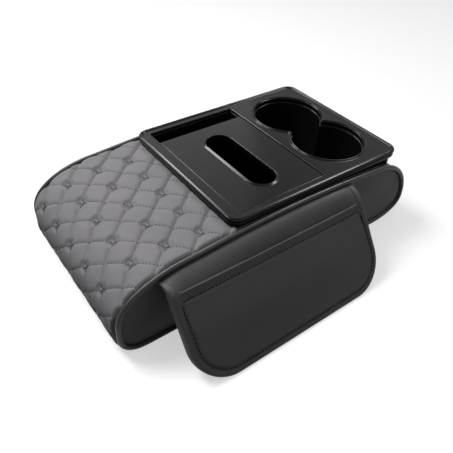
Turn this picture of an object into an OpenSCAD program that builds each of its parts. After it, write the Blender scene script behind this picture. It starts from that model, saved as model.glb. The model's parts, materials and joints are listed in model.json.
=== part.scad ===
// Car centre armrest: a padded box with a quilted nose, a moulded console tray let into its top
// and an open pocket hanging from one side.
// Millimetres. The origin is the centre of the pad's underside. +Z is up, +X runs from the quilted
// nose to the cup wells, and the pocket hangs on the -Y side.

/* [Pad] */
// Length of the pad from nose to rear
pad_l = 380; // [360:1:440]
// Width of the pad over its side panels
pad_w = 186; // [186:1:230]
// Height of the pad along its side seams
pad_h = 87; // [87:0.5:110]
// Rise of the pad's top at mid length
pad_crown = 5.7; // [0:0.1:10]
// Length of the round at the top of the nose
nose_top_l = 76.8; // [50:0.1:85]
// Height of the round at the top of the nose
nose_top_h = 44; // [30:0.5:60]
// Length of the round under the nose
nose_low_l = 26.6; // [12:0.1:30]
// Height of the round under the nose
nose_low_h = 22.4; // [10:0.1:26]
// Length of the round at the top of the rear
rear_top_l = 64.7; // [50:0.1:75]
// Height of the round at the top of the rear
rear_top_h = 63; // [40:0.5:63]
// Length of the round under the rear
rear_low_l = 47.2; // [20:0.1:55]
// Height of the round under the rear
rear_low_h = 23; // [12:0.5:23]

/* [Covers] */
// Thickness of the top and rear covers
cover_t = 2.5; // [1.5:0.1:4]
// Thickness of the side panels
side_t = 2.4; // [1.5:0.1:4]
// Diameter of the piping cord
piping_d = 5.2; // [4:0.1:7]
// How far the cord's centre stands out from the side panel
piping_out = 0.2; // [0:0.1:1]
// How far the covers lie below the top of the piping
cover_drop = 2.5; // [1.5:0.1:3.5]
// Gap between the piping and the covers beside it
seam_gap = 0.3; // [0.2:0.05:0.5]
// Thickness of the non-slip cover underneath
base_cover_t = 2.2; // [1:0.1:3]

/* [Quilting] */
// Distance between tufts across the pad
tuft_pitch = 33.2; // [25:0.1:45]
// Distance between rows of tufts along the pad
tuft_step = 33.4; // [25:0.1:45]
// Sideways shift from one row of tufts to the next
tuft_shift = -4.3; // [-10:0.1:10]
// First row of tufts, measured over the nose from its foremost line
tuft_start = 15; // [0:0.5:30]
// Offset of the first row of tufts across the pad
tuft_side = 6; // [-20:0.5:20]
// Height of the padding between the stitch lines
quilt_puff = 2.8; // [1:0.1:4]

/* [Base] */
// Thickness of the base board
board_t = 6; // [4:0.5:10]
// Distance from the covers to the base board's edge
board_inset = 4.6; // [3:0.1:10]
// Diameter of a tray screw
screw_d = 3.5; // [3:0.1:5]
// Length of a tray screw under its head
screw_l = 16; // [12:1:20]
// Diameter of a screw head
screw_head_d = 7.6; // [6:0.1:9]
// Height of a screw head
screw_head_h = 2.4; // [1.5:0.1:3]

/* [Console tray] */
// Length of the quilted nose in front of the tray
nose_l = 122.2; // [115:0.1:130]
// Distance from the tray's rear edge to the pad's rear
rear_l = 30; // [25:0.5:36]
// Distance from the tray's side to the pad's side
tray_margin = 2.5; // [1:0.1:3]
// Corner radius of the tray
tray_r = 13; // [8:0.5:18]
// Height of the rim's top over the pad's highest line
tray_stand = 6.6; // [5:0.1:12]
// Height of the rim's side
rim_h = 8; // [6:0.1:9]
// Height of the bead round the top of the rim
bead_h = 2.6; // [1.5:0.1:3]
// Height of the groove under the bead
groove_h = 1.5; // [1:0.1:2]
// Depth of the groove under the bead
groove_d = 1.4; // [0.8:0.1:1.6]
// Width of the rim beside the wells
rim_w = 10; // [8:0.1:11]
// Width of the flange in front of the lid
flange_w = 14.2; // [11:0.1:20]
// Wall of the moulding
wall = 2.5; // [2:0.1:3]
// Depth of the wells from the rim's top
well_depth = 69; // [50:0.5:74]
// Outside diameter of a screw post
post_d = 9; // [8:0.5:12]

/* [Tissue lid] */
// Width of the phone slot beside the lid
phone_w = 19.5; // [15:0.1:25]
// Thickness of the lid
lid_t = 2.6; // [2:0.1:4]
// How far the lid lies below the rim's top
lid_drop = 2.4; // [1.5:0.1:4]
// Width of the ledge that carries the lid
ledge_w = 4; // [3:0.1:6]
// Gap round the lid
lid_gap = 0.35; // [0.25:0.05:0.6]
// Depth of the locating rib under the lid
rib_h = 4; // [2:0.5:6]
// Thickness of the locating rib and the slot's lip
rib_t = 1.6; // [1:0.1:2.5]
// Distance from the lid's edge to the end of the slot
slot_end = 20.25; // [15:0.05:30]
// Width of the slot
slot_w = 31; // [20:0.5:40]
// Height of the lip round the slot
lip_h = 1; // [0.4:0.1:1.5]

/* [Cup wells] */
// Inside diameter of a cup well
cup_d = 77.8; // [70:0.1:78]
// Diameter of a cup well's mouth
mouth_d = 80.3; // [79:0.1:82]
// Depth of the mouth above the step
mouth_depth = 7; // [4:0.5:12]
// Width of the shallow bead ring round the mouth
ring_w = 1.6; // [1:0.1:2]
// Depth of the bead ring
ring_depth = 0.8; // [0.4:0.1:1.2]
// Distance from a cup well's mouth to the tray's side
cup_margin = 17.05; // [16:0.05:19]
// Distance from the lid's recess to the cup wells' centres
cup_setback = 50.4; // [50:0.1:52]
// Distance from the cup wells' centres to the tray's rear edge
cup_rear = 54.1; // [52:0.1:56]

/* [Side pocket] */
// Distance from the pad's nose to the pocket
pocket_nose = 42; // [40:0.5:60]
// Distance from the pocket to the pad's rear
pocket_rear = 107; // [100:0.5:130]
// Lean of the pocket away from upright, in degrees
pocket_lean = 35; // [30:0.5:38]
// Distance of the pocket's face from the side panel at the height of the pad's edge
pocket_out = 16.2; // [14:0.1:20]
// Drop of the pocket's face down its slope
pocket_drop = 102; // [95:0.5:106]
// Corner radius of the pocket
pocket_r = 40; // [15:1:50]
// Width of the edge round the pocket
edge_w = 6.8; // [5:0.1:9]
// Thickness of the pocket's front panel
front_t = 2.2; // [1.5:0.1:3]
// Room inside the pocket
pocket_room = 7; // [6:0.1:8]
// Thickness of the pocket's rear panel
backing_t = 1.8; // [1:0.1:3]
// Thickness of the stiffener
stiff_t = 2; // [1:0.1:3]
// Thickness of the lining
lining_t = 0.8; // [0.6:0.1:1.5]
// Distance from the top of the face to the mouth
mouth_s = 10; // [8:0.5:14]
// Width of the fold at the mouth
hem_w = 12; // [8:0.5:20]
// Thickness of the fold at the mouth
hem_t = 1.2; // [0.8:0.1:1.6]
// Height of the pocket's closed bottom
floor_h = 6; // [4:0.5:8]

/* [Hidden] */
$fn = 72;

quilt_gray = [0.50, 0.49, 0.50];
leather_black = [0.17, 0.17, 0.18];
tray_black = [0.12, 0.12, 0.13];
foam_white = [0.86, 0.85, 0.80];
board_brown = [0.52, 0.40, 0.28];
steel = [0.70, 0.71, 0.73];

// Something longer than the part, for cuts that run right through
through = 2 * (pad_l + pad_w);
// Overlap of a cut past the face that it opens
eps = 0.5;

// Layers of the pad, measured inward from its outline
cover_in = cover_drop + cover_t;
side_in = piping_d + seam_gap;
foam_in = cover_in + seam_gap;
piping_y = pad_w / 2 + piping_out;
// Half the width of the covers between the two cords
cover_hw = piping_y - piping_d / 2 - seam_gap;
foam_hw = pad_w / 2 - side_t;

// Base
board_z = base_cover_t;
board_top = board_z + board_t;
board_x0 = -pad_l / 2 + nose_low_l + board_inset;
board_x1 = pad_l / 2 - rear_low_l - board_inset;
board_hw = foam_hw - board_inset;
base_x0 = board_x0 - board_inset;
base_x1 = board_x1 + board_inset;
screw_clear = 0.1;
head_clear = 0.4;
// Play between pieces that are only laid against each other
slip = 0.2;
head_z = board_z + slip;

// Tray
tray_top = pad_h + pad_crown + tray_stand;
tray_front = -pad_l / 2 + nose_l;
tray_rear = pad_l / 2 - rear_l;
tray_w = pad_w - 2 * tray_margin;
plate_z = tray_top - wall;
rim_z = tray_top - rim_h;
edge_break = 0.8;
skirt_in = 3.2;
cup_x = tray_rear - cup_rear;
cup_pitch = tray_w - mouth_d - 2 * cup_margin;
recess_x0 = tray_front + flange_w;
recess_x1 = cup_x - cup_setback;
recess_hw = tray_w / 2 - rim_w;
well_z = tray_top - well_depth;
ledge_z = tray_top - lid_drop - lid_t;
lid_y1 = recess_hw - phone_w;
slot_l = lid_y1 + recess_hw - 2 * slot_end;
well_x0 = recess_x0 + ledge_w;
well_x1 = recess_x1 - ledge_w;
well_y0 = -recess_hw + ledge_w;
well_y1 = lid_y1 - wall;
cavity_gap = 0.5;
cavity_x0 = recess_x0 - wall - cavity_gap;
cavity_x1 = cup_x + mouth_d / 2 + wall + cavity_gap;
cavity_hw = recess_hw + wall + cavity_gap;
// The front and the rear cover meet here, under the tray's front edge
cover_split = tray_front + skirt_in + wall;
post_in = 12;
post_spots = [
    [well_x0 + post_in, well_y0 + post_in],
    [well_x0 + post_in, well_y1 - post_in],
    [well_x1 - post_in, well_y0 + post_in],
    [well_x1 - post_in, well_y1 - post_in],
    [cup_x, -cup_pitch / 2],
    [cup_x, cup_pitch / 2]
];

// Pocket layers, measured from the face of the pocket toward the pad
room_d0 = front_t;
backing_d0 = front_t + pocket_room;
stiff_d0 = backing_d0 + backing_t;
lining_d0 = stiff_d0 + stiff_t;
pocket_t = lining_d0 + lining_t;
pocket_y = pad_w / 2 + pocket_out;
pocket_l = pad_l - pocket_nose - pocket_rear;
pocket_x = (pocket_nose - pocket_rear) / 2;
inner_w = edge_w + slip;
// The slope starts this far below the pad's side seam
slope_z = pad_h - 3;
// Where each layer starts, down the slope
side_start = 5;
panel_start = 16;
lining_start = 18;
stiff_start = 20;
// The roll that the rear panel hangs by: its top below the side seam, its round and its underside
roll_top = pad_h - 1;
roll_r = 9;
roll_straight = 12;
roll_foot = 10;
roll_under = 4;

// Points on an elliptical arc about c with radii r, from angle a to angle b
function arc(c, r, a, b, n) =
    [for (i = [0:n]) let (t = a + (b - a) * i / n) [c[0] + r[0] * cos(t), c[1] + r[1] * sin(t)]];

// The pad's side outline, e inside its outermost line, as runs of points
crown_x0 = -pad_l / 2 + nose_top_l;
crown_x1 = pad_l / 2 - rear_top_l;
function crown_z(x) =
    let (u = (2 * x - crown_x0 - crown_x1) / (crown_x1 - crown_x0)) pad_h + pad_crown * (1 - u * u);
function nose_low(e, n) =
    arc([-pad_l / 2 + nose_low_l, nose_low_h], [nose_low_l - e, nose_low_h - e], 270, 180, n);
function nose_top(e, n) =
    arc([crown_x0, pad_h - nose_top_h], [nose_top_l - e, nose_top_h - e], 180, 90, n);
function crown(e, x1, n) =
    [for (i = [1:n]) let (x = crown_x0 + (x1 - crown_x0) * i / n) [x, crown_z(x) - e]];
function rear_top(e, n) =
    arc([crown_x1, pad_h - rear_top_h], [rear_top_l - e, rear_top_h - e], 90, 0, n);
function rear_low(e, n) =
    arc([pad_l / 2 - rear_low_l, rear_low_h], [rear_low_l - e, rear_low_h - e], 0, -90, n);
function drop_last(p) = [for (i = [0:len(p) - 2]) p[i]];
function pad_outline(e) =
    concat(nose_low(e, 8), nose_top(e, 16), drop_last(crown(e, crown_x1, 12)), rear_top(e, 16),
        rear_low(e, 10));

module pad_shape(e) {
    polygon(pad_outline(e));
}

// Extrudes a side view to a width w, centred on the pad
module across(w) {
    rotate([90, 0, 0])
        linear_extrude(height = w, center = true)
            children();
}

// Box from one corner to the other
module box(a, b) {
    translate(a)
        cube(b - a);
}

// Cord along the edge of a side panel
function turn(p, i) =
    let (n = len(p), d = p[(i + 1) % n] - p[(i + n - 1) % n]) [d[1], -d[0]] / norm(d);
module piping(y) {
    sides = 12;
    r = piping_d / 2;
    path = pad_outline(r);
    n = len(path);
    pts = [for (i = [0:n - 1]) let (q = turn(path, i)) for (j = [0:sides - 1])
        let (a = 360 * j / sides)
        [path[i][0] + q[0] * r * cos(a), y + r * sin(a), path[i][1] + q[1] * r * cos(a)]];
    faces = [for (i = [0:n - 1]) for (j = [0:sides - 1])
        let (k = (i + 1) % n, m = (j + 1) % sides)
        [i * sides + j, i * sides + m, k * sides + m, k * sides + j]];
    color(leather_black)
        polyhedron(points = pts, faces = faces, convexity = 6);
}

module side_panel(side) {
    color(leather_black)
        translate([0, side * (pad_w - side_t) / 2, 0])
            across(side_t)
                pad_shape(side_in);
}

// The quilted cover follows the nose from its underside to the tray's front edge
quilt_rows = 52;
quilt_cols = 44;
nose_low_n = 12;
function quilt_path(e) =
    concat(nose_low(e, nose_low_n), nose_top(e, 24), crown(e, cover_split, 8));
function run_length(p) =
    [for (i = 0, s = 0; i < len(p); s = s + (i + 1 < len(p) ? norm(p[i + 1] - p[i]) : 0), i = i + 1) s];
quilt_line = quilt_path(cover_drop);
quilt_out = quilt_path(cover_drop - 1) - quilt_line;
quilt_run = run_length(quilt_line);
quilt_l = quilt_run[len(quilt_run) - 1];
nose_run = quilt_run[nose_low_n + 1];
function along(values, k, s) = lookup(s, [for (i = [0:len(quilt_run) - 1]) [quilt_run[i], values[i][k]]]);
function line_at(s) = [along(quilt_line, 0, s), along(quilt_line, 1, s)];
function out_at(s) = [along(quilt_out, 0, s), along(quilt_out, 1, s)];
// The relief is flat along the edges and under the tray's front edge
edge_fade = 8;
// Below 1 the padding is fuller beside its stitch lines
quilt_fill = 0.4;
function fade(d) = max(0, min(1, d / edge_fade));
function puff(s, y) =
    let (c = (s - nose_run - tuft_start) / tuft_step,
        r = (y - tuft_side - c * tuft_shift) / tuft_pitch,
        d = quilt_l - skirt_in - 2 * wall - s)
    quilt_puff * pow(abs(sin(180 * (c + r)) * sin(180 * (c - r))), quilt_fill)
        * fade(cover_hw - abs(y)) * fade(s) * fade(d);

module quilted_cover() {
    s_at = [for (i = [0:quilt_rows]) quilt_l * i / quilt_rows];
    y_at = [for (j = [0:quilt_cols]) cover_hw * (2 * j / quilt_cols - 1)];
    top = [for (s = s_at) let (p = line_at(s), q = out_at(s)) for (y = y_at)
        let (h = puff(s, y)) [p[0] + q[0] * h, y, p[1] + q[1] * h]];
    under = [for (s = s_at) let (p = line_at(s) - out_at(s) * cover_t) for (y = [-cover_hw, cover_hw])
        [p[0], y, p[1]]];
    w = quilt_cols + 1;
    u = len(top);
    e = u + 2 * quilt_rows;
    mid = quilt_cols / 2;
    faces = concat(
        [for (i = [0:quilt_rows - 1]) for (j = [0:quilt_cols - 1]) let (a = i * w + j)
            each [[a, a + 1, a + w + 1], [a, a + w + 1, a + w]]],
        [for (i = [0:quilt_rows - 1]) let (b = u + 2 * i) [b, b + 2, b + 3, b + 1]],
        [for (i = [0:quilt_rows - 1]) let (b = u + 2 * i, a = i * w) [a, a + w, b + 2, b]],
        [for (i = [0:quilt_rows - 1]) let (b = u + 2 * i + 1, a = i * w + quilt_cols)
            [b, b + 2, a + w, a]],
        // both ends, as fans from the two corners of the under side
        [for (j = [0:quilt_cols - 1]) [j < mid ? u : u + 1, j + 1, j]],
        [[u, u + 1, mid]],
        [for (j = [0:quilt_cols - 1]) let (a = quilt_rows * w + j) [j < mid ? e : e + 1, a, a + 1]],
        [[e + 1, e, quilt_rows * w + mid]]);
    color(quilt_gray)
        polyhedron(points = concat(top, under), faces = faces, convexity = 8);
}

module rear_cover() {
    color(leather_black)
        difference() {
            across(2 * cover_hw)
                difference() {
                    pad_shape(cover_drop);
                    pad_shape(cover_in);
                    // the nose end, which the quilted cover takes
                    translate([-through + cover_split + seam_gap, -eps])
                        square([through, through]);
                    // the flat underside
                    translate([-through + base_x1, -eps])
                        square([through, rear_low_h]);
                }
            box([cavity_x0, -cavity_hw, rear_low_h], [cavity_x1, cavity_hw, tray_top]);
        }
}

module foam_core() {
    color(foam_white)
        difference() {
            across(2 * foam_hw)
                pad_shape(foam_in);
            box([board_x0 - seam_gap, -board_hw - seam_gap, -eps],
                [board_x1 + seam_gap, board_hw + seam_gap, board_top]);
            box([cavity_x0, -cavity_hw, board_top - eps], [cavity_x1, cavity_hw, tray_top]);
        }
}

module base_board() {
    color(board_brown)
        difference() {
            box([board_x0, -board_hw, board_z], [board_x1, board_hw, board_top]);
            for (p = post_spots)
                translate([p[0], p[1], board_z - eps]) {
                    cylinder(h = board_t + 2 * eps, d = screw_d + 2 * screw_clear);
                    cylinder(h = eps + slip + screw_head_h, d = screw_head_d + head_clear);
                }
        }
}

module base_cover() {
    color(leather_black)
        box([base_x0, -cover_hw, 0], [base_x1, cover_hw, base_cover_t]);
}

module tray_screw(k) {
    color(steel)
        translate([post_spots[k][0], post_spots[k][1], head_z]) {
            cylinder(h = screw_head_h, d = screw_head_d);
            cylinder(h = screw_head_h + screw_l, d = screw_d);
        }
}

// The tray's outline, e inside its outermost line
module tray_shape(e) {
    r = tray_r - e;
    x0 = tray_front + e;
    x1 = tray_rear - e;
    hw = tray_w / 2 - e;
    translate([x0 + r, -hw])
        square([x1 - x0 - 2 * r, 2 * hw]);
    translate([x0, -hw + r])
        square([x1 - x0, 2 * hw - 2 * r]);
    for (x = [x0 + r, x1 - r], y = [-hw + r, hw - r])
        translate([x, y])
            circle(r = r);
}

module tray_layer(e, z0, z1) {
    translate([0, 0, z0])
        linear_extrude(height = z1 - z0)
            tray_shape(e);
}

module tray_rim() {
    difference() {
        union() {
            tray_layer(edge_break, tray_top - bead_h, tray_top);
            tray_layer(0, tray_top - bead_h, tray_top - edge_break);
            tray_layer(groove_d, tray_top - bead_h - groove_h, tray_top - bead_h);
            tray_layer(edge_break / 2, rim_z, tray_top - bead_h - groove_h);
        }
        tray_layer(skirt_in, rim_z - eps, plate_z);
    }
}

// Apron behind the rim: it stands on the covers and follows the pad's top
module tray_apron() {
    difference() {
        tray_layer(skirt_in - eps, pad_h - rear_top_h, plate_z + eps);
        tray_layer(skirt_in + wall, 0, tray_top);
        across(through)
            pad_shape(cover_drop - seam_gap);
    }
}

// Places a child at each cup well's centre
module cups() {
    for (y = [-cup_pitch / 2, cup_pitch / 2])
        translate([cup_x, y, 0])
            children();
}

module console_tray() {
    color(tray_black)
        difference() {
            union() {
                tray_rim();
                tray_apron();
                box([recess_x0 - wall, -recess_hw - wall, ledge_z - wall],
                    [recess_x1 + wall, recess_hw + wall, plate_z + eps]);
                box([well_x0 - wall, well_y0 - wall, well_z - wall],
                    [well_x1 + wall, lid_y1, ledge_z]);
                box([recess_x0 - wall, well_y1, well_z - wall],
                    [recess_x1 + wall, recess_hw + wall, ledge_z]);
                cups() {
                    translate([0, 0, well_z - wall])
                        cylinder(h = plate_z - well_z + wall + eps, d = cup_d + 2 * wall);
                    translate([0, 0, tray_top - mouth_depth - wall])
                        cylinder(h = mouth_depth + wall - eps, d = mouth_d + 2 * wall);
                }
                for (p = post_spots)
                    translate([p[0], p[1], board_top])
                        cylinder(h = well_z - wall - board_top + eps, d = post_d);
            }
            // lid recess, tissue well and phone slot
            box([recess_x0, -recess_hw, ledge_z], [recess_x1, recess_hw, tray_top + eps]);
            box([well_x0, well_y0, well_z], [well_x1, well_y1, tray_top]);
            box([recess_x0, lid_y1, well_z], [recess_x1, recess_hw, tray_top]);
            cups() {
                translate([0, 0, well_z])
                    cylinder(h = well_depth + eps, d = cup_d);
                translate([0, 0, tray_top - mouth_depth])
                    cylinder(h = mouth_depth + eps, d = mouth_d);
                translate([0, 0, tray_top - ring_depth])
                    cylinder(h = ring_depth + eps, d = mouth_d + 2 * ring_w);
            }
            for (p = post_spots)
                translate([p[0], p[1], board_top - eps])
                    cylinder(h = head_z + screw_head_h + screw_l - board_top + 2 * eps,
                        d = screw_d + 2 * screw_clear);
        }
}

// Slot outline with round ends, g wider all round
module slot_shape(g) {
    r = slot_w / 2 + g;
    straight = slot_l - slot_w;
    square([2 * r, straight], center = true);
    for (y = [-straight / 2, straight / 2])
        translate([0, y])
            circle(r = r);
}

module tissue_lid() {
    top = ledge_z + lid_t;
    mid = [(recess_x0 + recess_x1) / 2, (lid_y1 - recess_hw) / 2, 0];
    color(tray_black)
        difference() {
            union() {
                box([recess_x0 + lid_gap, -recess_hw + lid_gap, ledge_z], [recess_x1 - lid_gap, lid_y1, top]);
                translate(mid + [0, 0, ledge_z - rib_h / 2])
                    linear_extrude(height = top + lip_h - ledge_z + rib_h / 2)
                        slot_shape(rib_t);
                difference() {
                    box([well_x0 + lid_gap, well_y0 + lid_gap, ledge_z - rib_h],
                        [well_x1 - lid_gap, well_y1 - lid_gap, ledge_z + eps]);
                    box([well_x0 + lid_gap + rib_t, well_y0 + lid_gap + rib_t, ledge_z - rib_h - eps],
                        [well_x1 - lid_gap - rib_t, well_y1 - lid_gap - rib_t, ledge_z]);
                }
            }
            translate(mid + [0, 0, ledge_z - rib_h])
                linear_extrude(height = 2 * rib_h + lid_t + lip_h)
                    slot_shape(0);
        }
}

// Puts a child in the pocket's own axes: x along the pad, y down the slope, z from the face inward
module on_slope() {
    translate([pocket_x, -pocket_y, slope_z])
        rotate([-90 - pocket_lean, 0, 0])
            children();
}

// The pocket's outline from s0 down to its foot, e inside its edge
module pocket_shape(e, s0) {
    hw = pocket_l / 2 - e;
    foot = pocket_drop - e;
    r = pocket_r - e;
    polygon(concat([[-hw, s0]], arc([-hw + r, foot - r], [r, r], 180, 90, 12),
        arc([hw - r, foot - r], [r, r], 90, 0, 12), [[hw, s0]]));
}

// One layer of the pocket, cut level at height z0
module pocket_layer(e, s0, d0, d1, z0) {
    intersection() {
        on_slope()
            translate([0, 0, d0])
                linear_extrude(height = d1 - d0)
                    pocket_shape(e, s0);
        box([-through, -through, z0], [through, 0, through]);
    }
}

module pocket_front() {
    color(leather_black)
        pocket_layer(inner_w, mouth_s, 0, front_t, floor_h + slip);
}

module pocket_hem() {
    color(leather_black)
        on_slope()
            box([-pocket_l / 2 + inner_w, mouth_s, room_d0],
                [pocket_l / 2 - inner_w, mouth_s + hem_w, room_d0 + hem_t]);
}

// The rear panel hangs from the seam under the piping by a roll
module pocket_backing() {
    seam_y = -pad_w / 2 - seam_gap;
    roll_y = -pocket_y + front_t + hem_t / 2;
    // where the rear panel starts, its front face and its back, in the view along the pad
    fy = -pocket_y + backing_d0 * cos(pocket_lean) - panel_start * sin(pocket_lean);
    fz = slope_z - backing_d0 * sin(pocket_lean) - panel_start * cos(pocket_lean);
    by = fy + backing_t * cos(pocket_lean);
    bz = fz - backing_t * sin(pocket_lean);
    under_z = bz + roll_foot;
    color(leather_black) {
        pocket_layer(inner_w, panel_start, backing_d0, stiff_d0, floor_h + slip);
        intersection() {
            translate([pocket_x - pocket_l / 2 + inner_w, 0, 0])
                rotate([90, 0, 90])
                    linear_extrude(height = pocket_l - 2 * inner_w)
                        polygon(concat([[seam_y, roll_top]],
                            arc([roll_y + roll_r, roll_top - roll_r], [roll_r, roll_r], 90, 180, 6),
                            [[roll_y, roll_top - roll_straight], [fy, fz], [by, bz],
                            [seam_y - roll_under, under_z], [seam_y, under_z + roll_under / 2]]));
            across(through)
                pad_shape(side_in);
        }
    }
}

module pocket_board() {
    color(board_brown)
        pocket_layer(inner_w, stiff_start, stiff_d0, lining_d0, floor_h + slip);
}

module pocket_lining() {
    color(leather_black)
        pocket_layer(inner_w, lining_start, lining_d0, pocket_t, floor_h + slip);
}

module pocket_binding() {
    color(leather_black)
        difference() {
            pocket_layer(0, side_start, 0, pocket_t, 0);
            pocket_layer(edge_w, side_start - eps, -eps, pocket_t + eps, floor_h);
        }
}

quilted_cover();
rear_cover();
side_panel(-1);  // side_panel_near
side_panel(1);  // side_panel_far
piping(-piping_y);  // piping_near
piping(piping_y);  // piping_far
foam_core();
base_board();
base_cover();
console_tray();
tissue_lid();
tray_screw(0);  // tray_screw_1
tray_screw(1);  // tray_screw_2
tray_screw(2);  // tray_screw_3
tray_screw(3);  // tray_screw_4
tray_screw(4);  // tray_screw_5
tray_screw(5);  // tray_screw_6
pocket_front();
pocket_hem();
pocket_backing();
pocket_board();
pocket_lining();
pocket_binding();
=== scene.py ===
import json
import math

import bmesh
import bpy
import numpy as np
from mathutils import Matrix, Vector

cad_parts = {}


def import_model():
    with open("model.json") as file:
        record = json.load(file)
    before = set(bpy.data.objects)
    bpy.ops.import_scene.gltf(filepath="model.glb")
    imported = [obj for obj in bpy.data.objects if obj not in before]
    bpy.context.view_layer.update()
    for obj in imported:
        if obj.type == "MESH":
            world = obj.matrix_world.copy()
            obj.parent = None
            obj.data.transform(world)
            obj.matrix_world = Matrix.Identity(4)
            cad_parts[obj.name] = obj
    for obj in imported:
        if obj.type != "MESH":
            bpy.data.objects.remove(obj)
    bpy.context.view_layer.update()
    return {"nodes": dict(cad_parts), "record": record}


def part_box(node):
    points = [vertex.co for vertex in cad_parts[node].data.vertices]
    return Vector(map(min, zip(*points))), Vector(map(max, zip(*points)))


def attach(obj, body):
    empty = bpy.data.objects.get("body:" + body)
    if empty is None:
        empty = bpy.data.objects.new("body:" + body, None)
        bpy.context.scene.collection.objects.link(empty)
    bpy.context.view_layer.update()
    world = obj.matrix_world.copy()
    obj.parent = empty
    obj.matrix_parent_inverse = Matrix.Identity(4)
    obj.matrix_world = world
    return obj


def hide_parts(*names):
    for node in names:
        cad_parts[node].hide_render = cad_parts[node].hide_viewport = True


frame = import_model()
nodes = frame["nodes"]

# Sizes, in metres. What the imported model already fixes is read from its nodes.
MM = 0.001

# Pad outline, seen from the side
PIPING_LOW, PIPING_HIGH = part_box("piping_near")
PAD_HALF = PIPING_HIGH.x
PAD_CROWN = 5.7 * MM
PAD_H = PIPING_HIGH.z - PAD_CROWN
NOSE_TOP_L = 76.8 * MM
NOSE_TOP_H = 44 * MM
NOSE_LOW_L = 26.6 * MM
NOSE_LOW_H = 22.4 * MM
REAR_TOP_L = 64.7 * MM
REAR_TOP_H = 63 * MM
REAR_LOW_L = 47.2 * MM
REAR_LOW_H = 23 * MM
CROWN_X0 = -PAD_HALF + NOSE_TOP_L
CROWN_X1 = PAD_HALF - REAR_TOP_L
OUTLINE_STEP = 1 * MM
SOFTEN_PASSES = 40

# Covers and piping
COVER_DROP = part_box("base_cover")[1].z + 0.3 * MM
COVER_T = 2.5 * MM
COVER_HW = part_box("rear_cover")[1].y
COVER_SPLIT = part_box("quilted_cover")[1].x
COVER_GAP = 0.3 * MM
TUCK_DEEP = 0.8 * MM
TUCK_W = 1.8 * MM
TRAY_HOLE_X0 = -56.6 * MM
TRAY_HOLE_X1 = 149 * MM
TRAY_HOLE_HW = 83.5 * MM
PIPING_R = (PIPING_HIGH.y - PIPING_LOW.y) / 2
PIPING_Y = sum(corner.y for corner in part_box("piping_far")) / 2
SIDE_LOW, SIDE_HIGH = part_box("side_panel_far")
SIDE_Y = SIDE_HIGH.y
SIDE_T = SIDE_Y - SIDE_LOW.y
SIDE_IN = 1.4 * PIPING_R

# Quilting
TUFT_PITCH = 33.2 * MM
TUFT_STEP = 33.4 * MM
TUFT_SHIFT = -4.3 * MM
TUFT_START = 15 * MM
TUFT_SIDE = 6 * MM
TUFT_L = 9 * MM
TUFT_W = 7 * MM
QUILT_PUFF = 4 * MM
ROW_DEPTH = 0.36
ROW_SHARPNESS = 9
LINE_SHARPNESS = 6
RIPPLE_H = 0.08 * MM
RIPPLE_W = 1.8 * MM
NOSE_STUFFING = 2.4 * MM
SLACK_START = 0.92
CELL_STEPS = 18
STITCH_PITCH = 3.3 * MM
STITCH_L = 1.6 * MM
LINE_STRETCH = 1.004
THREAD_R = 0.45 * MM
LOOP_THREAD_R = 0.42 * MM
LOOP_LIFT = 0.5 * MM
HEART_HALF = 0.9 * MM
HEART_STEP = 0.7 * MM
HEART_LIFT = 0.9 * MM

# Tray, lid and wells
TRAY_LOW, TRAY_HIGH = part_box("console_tray")
LID_LOW, LID_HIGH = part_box("tissue_lid")
CUP_WELL = next(mount for mount in frame["record"]["mounts"] if mount["name"] == "cup_well_far")
CUP_X, CUP_Y, _ = CUP_WELL["pos_m"]
CUP_R = CUP_WELL["dims"]["r_mm"] * MM
CUP_RIDGE_R = 1.3 * MM
TRAY_R = 13 * MM
APRON_SINK = 1 * MM
RECESS_R = 1.5 * MM
TISSUE_R = 4 * MM
TRAY_TOP = TRAY_HIGH.z
RIM_LOW = TRAY_TOP - 8 * MM
RIM_W = 10 * MM
FLANGE_Z = TRAY_TOP - 1.5 * MM
LEDGE_Z = TRAY_TOP - 5 * MM
LEDGE_W = 4 * MM
WELL_FLOOR = TRAY_TOP - 69 * MM
DIVIDER_T = 2.5 * MM
LID_GAP = 0.35 * MM
LID_TOP = TRAY_TOP - 2.4 * MM
LID_R = 1.2 * MM
RIB_R = 2.5 * MM
RIB_T = 1.6 * MM
SLOT_W = 31 * MM
SLOT_END = 20.25 * MM
LIP_T = 1.6 * MM

# Sections of the tray's rim, its cup wells and the lid's lip, in mm, as (growth, height) of each ring.
# The rim's heights are over its foot, the cup wells' are under the tray's top, the lip's are over the lid.
RIM_SECTION = [(-3.2, 0), (-1.0, 0), (-0.55, 0.15), (-0.4, 0.6), (-0.4, 2.5), (-0.6, 3.0), (-1.0, 3.3),
               (-1.8, 3.45), (-2.3, 3.7), (-2.4, 4.1), (-2.3, 4.5), (-1.6, 4.75), (-0.6, 4.85),
               (-0.15, 5.15), (0, 5.7), (-0.08, 6.3), (-0.3, 6.85), (-0.7, 7.3), (-1.3, 7.62),
               (-2.0, 7.86), (-2.7, 7.97), (-3.2, 7.97), (-3.7, 7.8), (-4.2, 7.35), (-4.55, 6.85),
               (-5.0, 6.57), (-5.6, 6.5)]
CUP_SECTION = [(5.2, 1.5), (4.7, 1.43), (4.3, 1.15), (3.9, 0.7), (3.5, 0.3), (3.1, 0.08), (2.7, 0),
               (2.4, 0.15), (2.15, 0.6), (2.05, 1.3), (1.9, 1.55), (1.5, 1.6), (1.3, 1.8), (1.25, 2.2),
               (1.25, 6.7), (1.1, 6.95), (0.8, 7.0), (0.2, 7.0), (0, 7.3), (0, 65), (-0.7, 67),
               (-2, 68.4), (-4, 69)]
LIP_SECTION = [(3.4, 0), (2.9, 0.06), (2.1, 0.4), (1.4, 0.75), (1.0, 0.93), (0.65, 1.0), (0.3, 0.92),
               (0.08, 0.68), (0, 0.3), (0, -4.3), (0.2, -4.6), (1.4, -4.6), (1.6, -4.3)]

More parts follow.
